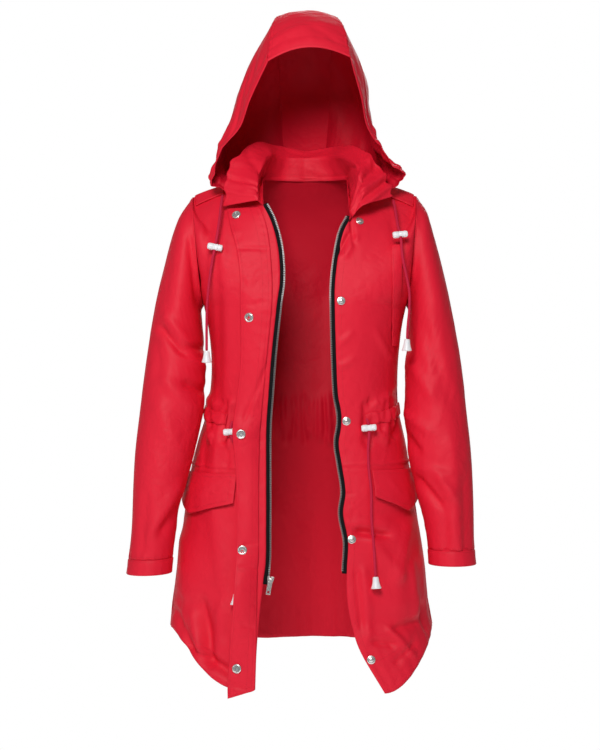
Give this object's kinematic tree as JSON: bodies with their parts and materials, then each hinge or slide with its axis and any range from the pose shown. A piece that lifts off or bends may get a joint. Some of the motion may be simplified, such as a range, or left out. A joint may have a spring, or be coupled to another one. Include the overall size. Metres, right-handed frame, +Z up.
{
  "type": "hooded raincoat",
  "caption": "Long hooded raincoat hanging open as worn, with storm flap, zip, waist drawcord, flap pockets, shoulder tabs and hood drawcords.",
  "frame": {"origin": "between the wearer's shoulders at the base of the neck, where the wearer carries the coat", "axes": "+Z up, -Y out of the wearer's chest, +X to the wearer's left"},
  "size_m": [0.5811, 0.2955, 1.1456],
  "materials": {
    "raincoat_cloth": "satin woven polyester, water repellent",
    "zip_tape": "woven tape",
    "nickel": "nickel plated",
    "white_plastic": "moulded",
    "cord": "braided"
  },
  "bodies": {
    "coat": {"back": "raincoat_cloth", "bell_hood_left": "white_plastic", "bell_hood_right": "white_plastic", "bell_waist_left": "white_plastic", "bell_waist_right": "white_plastic", "casing_back": "raincoat_cloth", "casing_front_left": "raincoat_cloth", "casing_front_right": "raincoat_cloth", "chest_pocket": "raincoat_cloth", "collar": "raincoat_cloth", "cord_hood_left": "cord", "cord_hood_right": "cord", "cord_waist_left": "cord", "cord_waist_right": "cord", "cuff_left": "raincoat_cloth", "cuff_right": "raincoat_cloth", "epaulette_left": "raincoat_cloth", "epaulette_right": "raincoat_cloth", "front_left": "raincoat_cloth", "front_right": "raincoat_cloth", "hood_centre": "raincoat_cloth", "hood_side_left": "raincoat_cloth", "hood_side_right": "raincoat_cloth", "lock_hood_left": "white_plastic", "lock_hood_right": "white_plastic", "lock_waist_left": "white_plastic", "lock_waist_right": "white_plastic", "pocket_flap_left": "raincoat_cloth", "pocket_flap_right": "raincoat_cloth", "sleeve_left": "raincoat_cloth", "sleeve_right": "raincoat_cloth", "snap_socket_1": "nickel", "snap_socket_2": "nickel", "snap_socket_3": "nickel", "snap_socket_4": "nickel", "snap_socket_5": "nickel", "snap_stud_1": "nickel", "snap_stud_2": "nickel", "snap_stud_3": "nickel", "snap_stud_4": "nickel", "snap_stud_5": "nickel", "storm_flap": "raincoat_cloth", "zip_slider": "nickel", "zip_tape_left": "zip_tape", "zip_tape_right": "zip_tape"},
    "pull": {"zip_pull": "nickel"}
  },
  "joints": [
    {"name": "pull_hinge", "type": "hinge", "parent": "coat", "child": "pull", "pos_m": [-0.05624, -0.1334, -0.64602], "axis": [-0.9848, 0, 0.1736], "range_deg": [0, 150]}
  ]
}
